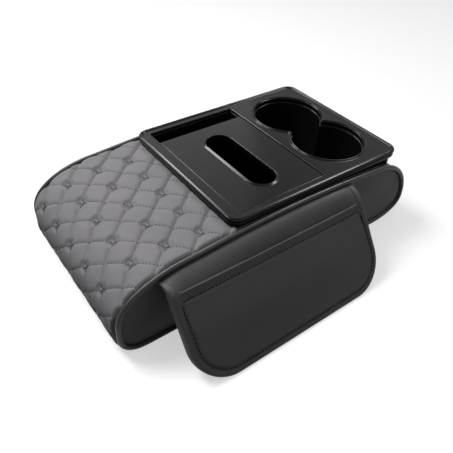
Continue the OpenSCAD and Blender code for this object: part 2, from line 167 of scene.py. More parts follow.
# Side pocket, in its own axes: x along the pad, s down the slope and d from its face toward the pad
POCKET_LOW, POCKET_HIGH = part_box("pocket_binding")
POCKET_MID = (POCKET_LOW.x + POCKET_HIGH.x) / 2
POCKET_HALF = (POCKET_HIGH.x - POCKET_LOW.x) / 2
POCKET_LEAN = math.radians(35)
POCKET_OUT = (0, -math.cos(POCKET_LEAN), math.sin(POCKET_LEAN))
SLOPE_TOP = (-SIDE_Y - 16.2 * MM, PAD_H - 3 * MM)
POCKET_DROP = 102 * MM
POCKET_R = 40 * MM
EDGE_W = 6.8 * MM
EDGE_TOP_S = 13 * MM
EDGE_PITCH = 3.6 * MM
EDGE_STITCH = 2.5 * MM
EDGE_THREAD_R = 0.5 * MM
MOUTH_S = 10 * MM
MOUTH_SLACK = 2.6 * MM
MOUTH_SLACK_L = 45 * MM
SEAM_IN = 2.6 * MM
SEAM_DEEP = -0.1 * MM
FRONT_T = 2.2 * MM
HEM_T = 1.2 * MM
HEM_W = 12 * MM
HEM_START_S = MOUTH_S + 0.6 * MM
HEM_SEAM_S = MOUTH_S + 8.5 * MM
HEM_PITCH = 4 * MM
HEM_STITCH = 2.8 * MM
HEM_THREAD_R = 0.55 * MM
BACKING_D = 9.2 * MM
ROLL_END_S = 16 * MM
ROLL_END_D = 4 * MM
ROLL_END_TUCK = 3.4 * MM
ROLL_TAPER = 14 * MM
ROLL_OUT = 9 * MM
ROLL_RISE = 1.6 * MM
ROLL_FALL = 10 * MM
ROLL_STEPS = 26
# Section of the strip round the pocket, in mm, as (distance in from its outer edge, depth)
STRIP_SECTION = [(7.1, 1.6), (6.7, 1.1), (6.0, 0.6), (4.9, 0.2), (3.6, 0.15), (2.4, 0.45), (1.4, 1.1),
                 (0.7, 2.1), (0.25, 3.6), (0.05, 5.6), (0, 8), (0.2, 10.2), (0.9, 12.2), (2.2, 13.3),
                 (4, 13.8), (6.8, 13.8)]

# Underside
DOT_PITCH = 12 * MM
DOT_R = 2.2 * MM
DOT_SIDES = 10

# Studio and camera, which is fitted to the photograph
FLOOR_HALF = 6.0
FLOOR_PALE = 0.6
FLOOR_GLOW = 0.52
FLOOR_BOUNCE = 0.04
DOME_GLOW = 0.6
PHOTO_SIDE = 453
PHOTO_FOCUS = 496.03
SENSOR = 36
CAMERA_PLACE = Vector((-276.9, -343.3, 387.5)) * MM
CAMERA_RIGHT = Vector((0.8057, -0.5907, 0.0453))
CAMERA_BACK = Vector((-0.4657, -0.5842, 0.6647))


def smooth_step(low, high, value):
    """0 below low, 1 above high, with a soft change between."""
    t = np.clip((value - low) / (high - low), 0, 1)
    return t * t * (3 - 2 * t)


def waves(x, y, size, seed):
    """Gentle uneven waves over a surface, from -1 to 1, about size long."""
    dice = np.random.default_rng(seed)
    total = np.zeros(np.broadcast(x, y).shape)
    for _ in range(7):
        turn, shift = dice.uniform(0, 2 * math.pi, 2)
        length = size * dice.uniform(0.7, 1.6)
        total = total + np.sin(2 * math.pi * (x * math.cos(turn) + y * math.sin(turn)) / length + shift)
    return total / 4


def dent(off, depth, width):
    """A soft groove, depth deep where off is 0, that is gone a few widths to either side."""
    return depth * np.exp(-(off / width) ** 2)


def above_floor(points):
    """The same points, with none lower than a hair above the floor."""
    points[..., 2] = np.maximum(points[..., 2], 0.2 * MM)
    return points


def step_lengths(line):
    """Lengths of the steps between the points of a line."""
    return np.linalg.norm(np.diff(line, axis=0), axis=1)


def run_along(line):
    """Distance of each point of a line from its start, along the line."""
    return np.concatenate([[0], np.cumsum(step_lengths(line))])


# Mesh helpers
def finish_piece(mesh, name, material, node=None, body="base"):
    """A mesh as a piece that rides on a body and, if a node is given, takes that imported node's place."""
    mesh.materials.append(material)
    mesh.polygons.foreach_set("use_smooth", [True] * len(mesh.polygons))
    piece = bpy.data.objects.new(name, mesh)
    bpy.context.scene.collection.objects.link(piece)
    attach(piece, body)
    if node:
        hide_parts(node)
    return piece


def kept_mesh(bm, name):
    """A new mesh with what a bmesh holds. The bmesh is then freed."""
    mesh = bpy.data.meshes.new(name)
    bm.to_mesh(mesh)
    bm.free()
    return mesh


def drop_loose_points(bm):
    """Takes out the points that no face uses."""
    bmesh.ops.delete(bm, geom=[v for v in bm.verts if not v.link_faces], context="VERTS")


def put_in_order(bm):
    """Numbers points, edges and faces by where they lie, so that every run gives the same mesh."""
    for number, v in enumerate(sorted(bm.verts, key=lambda v: v.co[:])):
        v.index = number
    bm.verts.sort()
    for parts in (bm.edges, bm.faces):
        for number, part in enumerate(sorted(parts, key=lambda part: sorted(v.index for v in part.verts))):
            part.index = number
        parts.sort()


def mesh_of(name, points, faces):
    """A mesh of points and faces, without loose points and with all faces turned the same way out."""
    mesh = bpy.data.meshes.new(name)
    mesh.from_pydata([tuple(p) for p in points], [], faces)
    bm = bmesh.new()
    bm.from_mesh(mesh)
    drop_loose_points(bm)
    bmesh.ops.recalc_face_normals(bm, faces=bm.faces)
    bm.to_mesh(mesh)
    bm.free()
    return mesh


def grid_faces(rows, columns, close_rows=False, close_columns=False, keep=None):
    """Quads of a grid of points, rows by columns."""
    faces = []
    for i in range(rows if close_rows else rows - 1):
        for j in range(columns if close_columns else columns - 1):
            if keep is None or keep[i, j]:
                i2, j2 = (i + 1) % rows, (j + 1) % columns
                faces.append((i * columns + j, i2 * columns + j, i2 * columns + j2, i * columns + j2))
    return faces


def mesh_of_grid(name, points, **closed_or_kept):
    """A mesh of a grid of points, given as an array of rows, columns and x, y, z."""
    return mesh_of(name, points.reshape(-1, 3), grid_faces(*points.shape[:2], **closed_or_kept))


def add_rings(points, faces, rings, filled):
    """Adds rings of points with walls between them, and fills the rings with the numbers in filled."""
    base, sides = len(points), len(rings[0])
    for ring in rings:
        points.extend(ring)
    faces += [tuple(base + v for v in f) for f in grid_faces(len(rings), sides, close_columns=True)]
    for number in filled:
        faces.append(tuple(base + number * sides + k for k in range(sides)))


def thicken(piece, thickness, offset=-1):
    """Gives a thin sheet its thickness."""
    sheet = piece.modifiers.new("thickness", "SOLIDIFY")
    sheet.thickness = thickness
    sheet.offset = offset


def flat_shading(piece):
    """Keeps the wide faces of a moulding even up to their rounded edges."""
    weigh = piece.modifiers.new("even_faces", "WEIGHTED_NORMAL")
    weigh.mode = "FACE_AREA"
    weigh.weight = 100
    weigh.keep_sharp = True


class Shell:
    """A moulded shell, put together from level rings, walls between them and flat fills."""

    def __init__(self):
        self.bm = bmesh.new()

    def ring(self, outline, z):
        """Points round an outline, at one height or at a height each."""
        heights = np.broadcast_to(z, len(outline))
        return [self.bm.verts.new((x, y, h)) for (x, y), h in zip(outline, heights)]

    def join(self, low, high):
        """A wall from one ring to the next."""
        for i in range(len(low)):
            j = (i + 1) % len(low)
            self.bm.faces.new((low[i], low[j], high[j], high[i]))

    def walls(self, outline_at, levels):
        """Rings at each (growth, height) of levels, joined by walls. Returns the first and the last."""
        rings = [self.ring(outline_at(grow), z) for grow, z in levels]
        for low, high in zip(rings, rings[1:]):
            self.join(low, high)
        return rings[0], rings[-1]

    def fill(self, *rings):
        """Flat face between an outer ring and the rings inside it."""
        edges = []
        for ring in rings:
            for i in range(len(ring)):
                pair = (ring[i], ring[(i + 1) % len(ring)])
                edges.append(self.bm.edges.get(pair) or self.bm.edges.new(pair))
        bmesh.ops.triangle_fill(self.bm, use_beauty=True, use_dissolve=False, edges=edges)

    def piece(self, name, material, slot, node, body="base"):
        """The finished moulding, as a piece of the scene."""
        bmesh.ops.recalc_face_normals(self.bm, faces=self.bm.faces)
        piece = finish_piece(kept_mesh(self.bm, node), name, material, node, body)
        flat_shading(piece)
        return piece


def rounded_box(x0, x1, y0, y1, radius, corner_steps=5):
    """Outline of a box with round corners, as a function of how far it is grown."""
    centres = [(x1 - radius, y1 - radius), (x0 + radius, y1 - radius),
               (x0 + radius, y0 + radius), (x1 - radius, y0 + radius)]

    def outline(grow):
        r = max(radius + grow, 0.05 * MM)
        points = []
        for quarter, (cx, cy) in enumerate(centres):
            for k in range(corner_steps + 1):
                turn = math.radians(90 * (quarter + k / corner_steps))
                points.append((cx + r * math.cos(turn), cy + r * math.sin(turn)))
        return points
    return outline


def stitches(name, ends, material, radius=THREAD_R):
    """Short lengths of thread on a surface, each as its two ends and the way out of the surface."""
    sides = 6
    stations = [(-0.5, 0.35), (-0.36, 0.95), (0.36, 0.95), (0.5, 0.35)]
    turn = 2 * np.pi * np.arange(sides) / sides
    points, faces = [], []
    for start, end, out in ends:
        start, end, out = (np.asarray(v, float) for v in (start, end, out))
        middle, along = (start + end) / 2, end - start
        side = np.cross(out, along)
        side = side / np.linalg.norm(side)
        rings = [[middle + along * share + radius * width * (side * math.cos(a) + out * math.sin(a))
                  for a in turn] for share, width in stations]
        add_rings(points, faces, rings, filled=(0, len(stations) - 1))
    finish_piece(mesh_of(name, points, faces), name, material)


# Node helpers
def feed(tree, node, inputs):
    """Sets inputs of a node to numbers, or links them to the outputs that feed them."""
    for key, value in inputs.items():
        if isinstance(value, bpy.types.NodeSocket):
            tree.links.new(value, node.inputs[key])
        else:
            node.inputs[key].default_value = value


def add_node(tree, kind, inputs=None, **settings):
    """A shader node with its settings, and its inputs as feed takes them."""
    made = tree.nodes.new(kind)
    for key, value in settings.items():
        setattr(made, key, value)
    feed(tree, made, inputs or {})
    return made


def combine(tree, operation, first, second):
    """What a sum, product or other operation makes of two values."""
    return add_node(tree, "ShaderNodeMath", {0: first, 1: second}, operation=operation).outputs[0]


def noise(tree, place, scale, detail, roughness=0.5):
    """Soft uneven patches over a surface."""
    inputs = {"Vector": place, "Scale": scale, "Detail": detail, "Roughness": roughness}
    return add_node(tree, "ShaderNodeTexNoise", inputs).outputs["Fac"]


def new_effect(name, inputs, outputs):
    """An empty node group. Returns it with the place on the object and the group's own inputs."""
    group = bpy.data.node_groups.new(name, "ShaderNodeTree")
    for label, value in inputs.items():
        socket = group.interface.new_socket(name=label, in_out="INPUT", socket_type="NodeSocketFloat")
        socket.default_value = value
    for label in outputs:
        group.interface.new_socket(name=label, in_out="OUTPUT", socket_type="NodeSocketFloat")
    place = add_node(group, "ShaderNodeTexCoord").outputs["Object"]
    return group, place, add_node(group, "NodeGroupInput").outputs


def leather_grain_effect():
    """Pebbled grain of embossed leatherette, with a slow change of tone over it."""
    group, place, given = new_effect("leather_grain", {"Grains": 900.0, "Patches": 25.0}, ["Height", "Tone"])
    pebbles = add_node(group, "ShaderNodeTexVoronoi",
                       {"Vector": place, "Scale": given["Grains"], "Randomness": 1.0}, feature="SMOOTH_F1")
    folds = noise(group, place, 160.0, 5.0)
    height = combine(group, "ADD", pebbles.outputs["Distance"], folds)
    tone = noise(group, place, given["Patches"], 4.0)
    add_node(group, "NodeGroupOutput", {"Height": height, "Tone": tone})
    return group


def handling_effect():
    """Uneven shine that hands leave on a surface in use."""
    inputs = {"Low": 0.4, "High": 0.6, "Patches": 35.0}
    group, place, given = new_effect("handling_shine", inputs, ["Roughness"])
    patches = noise(group, place, given["Patches"], 6.0, roughness=0.6)
    ranged = add_node(group, "ShaderNodeMapRange",
                      {"Value": patches, "From Min": 0.3, "From Max": 0.7,
                       "To Min": given["Low"], "To Max": given["High"]})
    add_node(group, "NodeGroupOutput", {"Roughness": ranged.outputs["Result"]})
    return group


def weave_effect():
    """Plain over-and-under weave of a woven backing cloth."""
    group, place, given = new_effect("plain_weave", {"Threads": 900.0}, ["Height", "Tone"])
    warp, weft = (add_node(group, "ShaderNodeTexWave",
                           {"Vector": place, "Scale": given["Threads"], "Distortion": 0.6},
                           wave_type="BANDS", bands_direction=direction).outputs["Fac"]
                  for direction in ("X", "Y"))
    height = combine(group, "MULTIPLY", warp, weft)
    tone = noise(group, place, 300.0, 3.0)
    add_node(group, "NodeGroupOutput", {"Height": height, "Tone": tone})
    return group


def moulded_effect():
    """Fine spark-eroded texture of a moulded plastic face."""
    group, place, given = new_effect("moulded_texture", {"Fineness": 1600.0}, ["Height", "Tone"])
    height = noise(group, place, given["Fineness"], 2.0)
    tone = noise(group, place, 14.0, 5.0)
    add_node(group, "NodeGroupOutput", {"Height": height, "Tone": tone})
    return group


HANDLING = handling_effect()
GRAIN = leather_grain_effect()
WEAVE = weave_effect()
MOULDED = moulded_effect()


def material_with(name, dark, light, surface, surface_inputs, bump_depth, bump_strength,
                  roughness, specular, metallic=0.0):
    """A material whose colour, bump and shine come from a surface effect and the handling effect."""
    material = bpy.data.materials.new(name)
    material.use_nodes = True
    tree = material.node_tree
    detail = add_node(tree, "ShaderNodeGroup", surface_inputs, node_tree=surface)
    colour = add_node(tree, "ShaderNodeMix",
                      {"Factor": detail.outputs["Tone"], 6: (*dark, 1), 7: (*light, 1)}, data_type="RGBA")
    low, high = roughness
    shine = add_node(tree, "ShaderNodeGroup", {"Low": low, "High": high}, node_tree=HANDLING)
    bump = add_node(tree, "ShaderNodeBump",
                    {"Strength": bump_strength, "Distance": bump_depth, "Height": detail.outputs["Height"]})
    feed(tree, tree.nodes["Principled BSDF"],
         {"Base Color": colour.outputs[2], "Roughness": shine.outputs["Roughness"],
          "Normal": bump.outputs["Normal"], "Specular IOR Level": specular, "Metallic": metallic})
    return material


def leatherette(name, dark, light, grains, patches, grain_mm, roughness, specular):
    """Embossed leatherette. A deeper grain also shows more strongly."""
    return material_with(name, dark, light, GRAIN, {"Grains": grains, "Patches": patches},
                         grain_mm * MM, grain_mm, roughness, specular)


def thread(name, dark, light, strength, roughness, specular):
    """Twisted sewing thread."""
    return material_with(name, dark, light, WEAVE, {"Threads": 2500.0},
                         0.1 * MM, strength, roughness, specular)


gray_leather = leatherette("quilted_leatherette", (0.182, 0.177, 0.185), (0.236, 0.23, 0.24),
                           grains=800.0, patches=30.0, grain_mm=0.25, roughness=(0.66, 0.76), specular=0.035)
black_leather = leatherette("black_leatherette", (0.045, 0.0435, 0.0465), (0.061, 0.0595, 0.063),
                            grains=900.0, patches=18.0, grain_mm=0.25, roughness=(0.48, 0.58), specular=0.13)
piping_leather = leatherette("piping_leatherette", (0.024, 0.023, 0.025), (0.036, 0.035, 0.038),
                             grains=1300.0, patches=30.0, grain_mm=0.15, roughness=(0.34, 0.44),
                             specular=0.22)
tray_plastic = material_with("tray_plastic", (0.0035, 0.0035, 0.004), (0.006, 0.006, 0.0068), MOULDED,
                             {"Fineness": 1500.0}, 0.04 * MM, 0.04, roughness=(0.15, 0.2), specular=0.1)
dark_thread = thread("dark_thread", (0.006, 0.006, 0.0065), (0.016, 0.0155, 0.0165),
                     strength=0.4, roughness=(0.7, 0.85), specular=0.04)
quilt_thread = thread("quilt_thread", (0.045, 0.044, 0.047), (0.08, 0.078, 0.083),
                      strength=0.4, roughness=(0.65, 0.8), specular=0.05)
tuft_thread = thread("tuft_thread", (0.09, 0.088, 0.093), (0.17, 0.166, 0.174),
                     strength=0.5, roughness=(0.5, 0.65), specular=0.35)
pale_thread = thread("pale_thread", (0.21, 0.206, 0.214), (0.31, 0.304, 0.316),
                     strength=0.5, roughness=(0.5, 0.65), specular=0.35)
underside_cloth = material_with("non_slip_cloth", (0.02, 0.02, 0.021), (0.035, 0.035, 0.037), WEAVE,
                                {"Threads": 700.0}, 0.3 * MM, 0.6, roughness=(0.8, 0.95), specular=0.2)
foam_material = material_with("foam", (0.6, 0.57, 0.5), (0.78, 0.76, 0.69), MOULDED,
                              {"Fineness": 500.0}, 0.8 * MM, 0.6, roughness=(0.85, 0.95), specular=0.2)
board_material = material_with("fibreboard", (0.26, 0.18, 0.11), (0.42, 0.31, 0.2), MOULDED,
                               {"Fineness": 350.0}, 0.2 * MM, 0.4, roughness=(0.7, 0.85), specular=0.3)
steel_material = material_with("screw_steel", (0.5, 0.5, 0.52), (0.66, 0.66, 0.68), MOULDED,
                               {"Fineness": 900.0}, 0.03 * MM, 0.2, roughness=(0.28, 0.4), specular=0.5,
                               metallic=1.0)


# Pad outline
def ellipse(cx, cz, rx, rz, start, end):
    """Part of an ellipse in the side view, between two turns in degrees."""
    turn = np.radians(np.linspace(start, end, 49))
    return np.column_stack([cx + rx * np.cos(turn), cz + rz * np.sin(turn)])


def pad_outline(e):
    """Side outline of the pad, e inside its outermost line, from under the nose round to under the rear."""
    x = np.linspace(CROWN_X0, CROWN_X1, 97)[1:-1]
    u = (2 * x - CROWN_X0 - CROWN_X1) / (CROWN_X1 - CROWN_X0)
    return np.vstack([
        ellipse(-PAD_HALF + NOSE_LOW_L, NOSE_LOW_H, NOSE_LOW_L - e, NOSE_LOW_H - e, 270, 180),
        ellipse(CROWN_X0, PAD_H - NOSE_TOP_H, NOSE_TOP_L - e, NOSE_TOP_H - e, 180, 90),
        np.column_stack([x, PAD_H + PAD_CROWN * (1 - u * u) - e]),
        ellipse(CROWN_X1, PAD_H - REAR_TOP_H, REAR_TOP_L - e, REAR_TOP_H - e, 90, 0),
        ellipse(PAD_HALF - REAR_LOW_L, REAR_LOW_H, REAR_LOW_L - e, REAR_LOW_H - e, 0, -90)])


class Route:
    """A line in the pad's side view, softened at its joins and measured along its length."""

    def __init__(self, points, closed=False):
        if closed:
            points = np.vstack([points, points[:1]])
        run = run_along(points)
        self.length = run[-1]
        count = int(self.length / OUTLINE_STEP) + 1
        self.run = np.linspace(0, self.length, count)
        line = np.column_stack([np.interp(self.run, run, points[:, k]) for k in range(2)])
        for _ in range(SOFTEN_PASSES):
            if closed:
                ring = line[:-1]
                ring = (np.roll(ring, 1, 0) + 2 * ring + np.roll(ring, -1, 0)) / 4
                line = np.vstack([ring, ring[:1]])
            else:
                line[1:-1] = (line[:-2] + 2 * line[1:-1] + line[2:]) / 4
        self.line = line
        along = np.gradient(line, axis=0)
        if closed:
            along[0] = along[-1] = line[1] - line[-2]
        along = along / np.linalg.norm(along, axis=1)[:, None]
        self.out = np.column_stack([-along[:, 1], along[:, 0]])

    def place(self, s, y, lift=0.0):
        """Points at distances s and widths y, lifted off the line, as an array of x, y, z."""
        px, pz, ox, oz = (np.interp(s, self.run, v) for v in (*self.line.T, *self.out.T))
        px = px + ox * lift
        pz = pz + oz * lift
        return np.stack(np.broadcast_arrays(px, y, pz), axis=-1)


COVER = Route(pad_outline(COVER_DROP))
LOW_NOSE_LINE = ellipse(0, 0, NOSE_LOW_L - COVER_DROP, NOSE_LOW_H - COVER_DROP, 270, 180)
NOSE_RUN = step_lengths(LOW_NOSE_LINE).sum() + PAD_H - NOSE_TOP_H - NOSE_LOW_H
UPPER_LINE = slice(np.argmin(COVER.line[:, 0]), np.argmax(COVER.line[:, 0]) + 1)


def cover_run_at(x):
    """Distance along the covers at which they reach x, on the upper side."""
    return np.interp(x, COVER.line[UPPER_LINE, 0], COVER.run[UPPER_LINE])


def cover_height_at(x):
    """Height of the covers' line at x, on the upper side."""
    return np.interp(cover_run_at(x), COVER.run, COVER.line[:, 1])


# Quilting, with s along the cover from under the nose and y across it
QUILT_L = cover_run_at(COVER_SPLIT)
P_PITCH = 1 / math.hypot((1 - TUFT_SHIFT / TUFT_PITCH) / TUFT_STEP, 1 / TUFT_PITCH)
Q_PITCH = 1 / math.hypot((1 + TUFT_SHIFT / TUFT_PITCH) / TUFT_STEP, 1 / TUFT_PITCH)


def tuft_numbers(s, y):
    """Row and column of a place on the quilting. Tufts are at whole numbers."""
    row = (s - NOSE_RUN - TUFT_START) / TUFT_STEP
    return row, (y - TUFT_SIDE - row * TUFT_SHIFT) / TUFT_PITCH


def line_numbers(s, y):
    """Numbers p and q of a place on the quilting. The two families of stitch lines are at whole numbers."""
    row, column = tuft_numbers(s, y)
    return row + column, row - column


def quilt_place(p, q):
    """Place on the cover where the stitch lines p and q cross."""
    row, column = (p + q) / 2, (p - q) / 2
    return (NOSE_RUN + TUFT_START + row * TUFT_STEP,
            TUFT_SIDE + row * TUFT_SHIFT + column * TUFT_PITCH)


def off_whole(number):
    """How far a number is from the nearest whole one."""
    return np.abs(number - np.round(number))


def tuft_distance(s, y):
    """Distance of a place on the quilting from the nearest tuft."""
    row, column = tuft_numbers(s, y)
    row, column = row - np.round(row), column - np.round(column)
    return np.hypot(row * TUFT_STEP, column * TUFT_PITCH + row * TUFT_SHIFT)


def seam_lift(s, y):
    """Height of the stitch lines over the pad: they ride higher on the well filled nose."""
    edge = smooth_step(-1 * MM, 5 * MM, COVER_HW - np.abs(y)) * smooth_step(0, 12 * MM, s)
    return NOSE_STUFFING * edge * (1 - smooth_step(NOSE_RUN - 5 * MM, NOSE_RUN + 40 * MM, s))


def quilt_lift(s, y, fullness=1.0):
    """Height of the quilting over the pad. Rows across are shallow, lines along the pad are deep."""
    p, q = line_numbers(s, y)
    to_p, to_q = off_whole(p), off_whole(q)
    across = 1 - ROW_DEPTH * (1 - 2 * to_p) ** ROW_SHARPNESS
    along = 1 - (1 - 2 * to_q) ** LINE_SHARPNESS
    fillings = np.random.default_rng(11).uniform(0.92, 1.06, (64, 64))
    filling = fillings[np.floor(p).astype(int) + 32, np.floor(q).astype(int) + 32]
    low = seam_lift(s, y)
    sides = smooth_step(-1 * MM, 2.6 * MM, COVER_HW - np.abs(y))
    under_tray = 0.45 + 0.55 * smooth_step(0, 10 * MM, QUILT_L - 4 * MM - s)
    edge = sides * smooth_step(0, 8 * MM, s) * under_tray
    tuft = smooth_step(0.4 * TUFT_L, 0.85 * TUFT_L, tuft_distance(s, y))
    ripple = (np.cos(2 * np.pi * q * Q_PITCH / STITCH_PITCH) * np.exp(-to_p * P_PITCH / RIPPLE_W)
              + np.cos(2 * np.pi * p * P_PITCH / STITCH_PITCH) * np.exp(-to_q * Q_PITCH / RIPPLE_W))
    pillow = across * along * filling * tuft
    return low + edge * fullness * ((QUILT_PUFF - 0.8 * low) * pillow + RIPPLE_H * ripple)


def tuck(y):
    """How far a cover dips where it runs in beside the piping."""
    return -TUCK_DEEP * (1 - smooth_step(0, TUCK_W, COVER_HW - np.abs(y)))


def stitch_lift(s, y):
    """Height at which thread lies on the quilting."""
    p, q = line_numbers(s, y)
    deep = off_whole(q) < off_whole(p) - 0.5 / CELL_STEPS
    return np.where(deep, seam_lift(s, y), quilt_lift(s, y))


def on_quilt(s, y, lift):
    """Points over the quilting, lift above where thread lies."""
    return COVER.place(s, y, lift + stitch_lift(s, y) + tuck(y))


def swell(piece, held, fullness, cap, frames=20, smoothing=4):
    """Blows a held sheet up as cloth, and keeps what it becomes, with no point moved more than cap."""
    mesh = piece.data
    before = np.array([v.co for v in mesh.vertices])
    group = piece.vertex_groups.new(name="sewn")
    group.add([int(i) for i in np.flatnonzero(held)], 1.0, "REPLACE")
    cloth = piece.modifiers.new("stuffing", "CLOTH")
    cloth.settings.vertex_group_mass = "sewn"
    cloth.settings.use_pressure = True
    cloth.settings.uniform_pressure_force = fullness
    cloth.settings.bending_stiffness = 2
    cloth.settings.tension_stiffness = 4
    cloth.settings.compression_stiffness = 4
    cloth.settings.mass = 0.05
    cloth.settings.quality = 4
    cloth.settings.effector_weights.gravity = 0
    cloth.collision_settings.use_collision = False
    cloth.point_cache.frame_end = frames
    scene = bpy.context.scene
    for step in range(1, frames + 1):
        scene.frame_set(step)
    shown = piece.evaluated_get(bpy.context.evaluated_depsgraph_get()).to_mesh()
    after = np.array([v.co for v in shown.vertices])
    scene.frame_set(1)
    piece.modifiers.remove(cloth)
    piece.vertex_groups.remove(group)
    move = after - before
    ends = np.array([e.vertices[:] for e in mesh.edges])
    shares = np.maximum(np.bincount(ends.ravel(), minlength=len(move)), 1)[:, None]
    for _ in range(smoothing):
        around = np.zeros_like(move)
        np.add.at(around, ends[:, 0], move[ends[:, 1]])
        np.add.at(around, ends[:, 1], move[ends[:, 0]])
        move = np.where(held[:, None], 0, (move + around / shares) / 2)
    far = np.linalg.norm(move, axis=1)[:, None]
    move = move * np.minimum(1, cap / np.maximum(far, 1e-9))
    mesh.vertices.foreach_set("co", above_floor(before + move).ravel())
    mesh.update()
    print(piece.name, "swelled by up to", round(float(far.max()) / MM, 2), "mm")


def flat_quilt():
    """The quilted sheet laid flat, at its s and y, with a grid that follows its stitch lines.

    It is turned under at its edges: the turned points are as far down as the cover is thick.
    """
    corners = [line_numbers(s, y) for s in (0, QUILT_L) for y in (-COVER_HW, COVER_HW)]
    lowest, highest = math.floor(np.min(corners)), math.ceil(np.max(corners))
    steps = (highest - lowest) * CELL_STEPS + 1
    marks = np.linspace(lowest, highest, steps)
    s, y = quilt_place(marks[:, None], marks[None, :])
    bm = bmesh.new()
    verts = [bm.verts.new((a, b, 0)) for a, b in zip(s.ravel(), y.ravel())]
    margin = 3 * MM
    inside = ((s > -margin) & (s < QUILT_L + margin) & (np.abs(y) < COVER_HW + margin)).ravel()
    for face in grid_faces(steps, steps):
        if any(inside[v] for v in face):
            bm.faces.new([verts[v] for v in face])
    drop_loose_points(bm)
    for place, away in (((0, 0, 0), (-1, 0, 0)), ((QUILT_L, 0, 0), (1, 0, 0)),
                        ((0, COVER_HW, 0), (0, 1, 0)), ((0, -COVER_HW, 0), (0, -1, 0))):
        bmesh.ops.bisect_plane(bm, geom=bm.verts[:] + bm.edges[:] + bm.faces[:], dist=1e-7,
                               plane_co=place, plane_no=away, clear_outer=True)
    rim = [e for e in bm.edges if e.is_boundary]
    turned = bmesh.ops.extrude_edge_only(bm, edges=rim)
    for v in turned["geom"]:
        if isinstance(v, bmesh.types.BMVert):
            v.co.z = -COVER_T
    put_in_order(bm)
    bmesh.ops.recalc_face_normals(bm, faces=bm.faces)
    return bm


def quilted_cover():
    """The quilted sheet over the nose, raised between its stitch lines and tufts and swelled as cloth."""
    bm = flat_quilt()
    s, y, under = np.array([v.co for v in bm.verts]).T
    lift = np.where(under < 0, under, quilt_lift(s, y, SLACK_START))
    placed = above_floor(COVER.place(s, y, lift + tuck(y)))
    p, q = line_numbers(s, y)
    near_line = np.minimum(off_whole(p) * P_PITCH, off_whole(q) * Q_PITCH) < 0.4 * MM
    near_edge = np.minimum(np.minimum(s, QUILT_L - s), COVER_HW - np.abs(y)) < 0.3 * MM
    held = near_line | near_edge | (tuft_distance(s, y) < TUFT_L / 2) | (under < 0)
    for v, co in zip(bm.verts, placed):
        v.co = co
    piece = finish_piece(kept_mesh(bm, "quilted_cover"), "quilted_nose", gray_leather,
                         "quilted_cover")
    swell(piece, held, fullness=150, cap=1.2 * MM)
    skin = piece.modifiers.new("smooth_skin", "SUBSURF")
    skin.levels = 1
    skin.render_levels = 1


def quilt_stitching():
    """Rows of stitches along both families of stitch lines."""
    ends = []
    margin = 1.5 * MM
    fine = np.linspace(-9, 11, 8001)
    for pitch, is_p_line in ((Q_PITCH, True), (P_PITCH, False)):
        for number in range(-8, 10):
            fixed = np.full_like(fine, number)
            s, y = quilt_place(fixed, fine) if is_p_line else quilt_place(fine, fixed)
            run = (fine - fine[0]) * pitch * LINE_STRETCH
            for mark in np.arange(0, run[-1], STITCH_PITCH):
                s2, y2 = (np.interp([mark, mark + STITCH_L], run, v) for v in (s, y))
                mid_s, mid_y = s2.mean(), y2.mean()
                on_sheet = 4 * margin < mid_s < QUILT_L - margin and abs(mid_y) < COVER_HW - margin / 2
                if not on_sheet or tuft_distance(mid_s, mid_y) < TUFT_L / 2:
                    continue
                a, b = on_quilt(s2, y2, 0.12 * MM)
                out = on_quilt(np.array([mid_s]), np.array([mid_y]), 10 * MM)[0] - (a + b) / 2
                ends.append((a, b, out / np.linalg.norm(out)))
    stitches("quilt_stitches", ends, quilt_thread)


def tufts():
    """Small sewn flowers of four loops where every second pair of stitch lines crosses."""
    loops, hearts = [], []
    petal = np.radians(np.linspace(0, 360, 11))
    for row in range(-4, 6):
        for column in range(-4, 5):
            s, y = quilt_place(row + column, row - column)
            if not (TUFT_L < s < QUILT_L - TUFT_L / 2 and abs(y) < COVER_HW - TUFT_L / 2):
                continue
            out = COVER.place(s, y, 10 * MM).reshape(3) - COVER.place(s, y, 0).reshape(3)
            out = out / np.linalg.norm(out)
            for k in range(4):
                turn = math.radians(45 + 90 * k)
                reach = TUFT_L / (4 if k % 2 else 3.4)
                a = reach * (1 - np.cos(petal)) * 0.95
                b = TUFT_W / 7 * np.sin(petal)
                ds = a * math.cos(turn) - b * math.sin(turn)
                dy = a * math.sin(turn) + b * math.cos(turn)
                line = COVER.place(s + ds, y + dy, seam_lift(s, y) + LOOP_LIFT)
                loops += [(line[i], line[i + 1], out) for i in range(len(line) - 1)]
            for shift in (-HEART_STEP, 0, HEART_STEP):
                start, end = COVER.place(np.array([s - HEART_HALF, s + HEART_HALF]), np.full(2, y + shift),
                                         seam_lift(s, y) + HEART_LIFT)
                hearts.append((start, end, out))
    stitches("tuft_loops", loops, tuft_thread, radius=LOOP_THREAD_R)
    stitches("tuft_hearts", hearts, pale_thread)


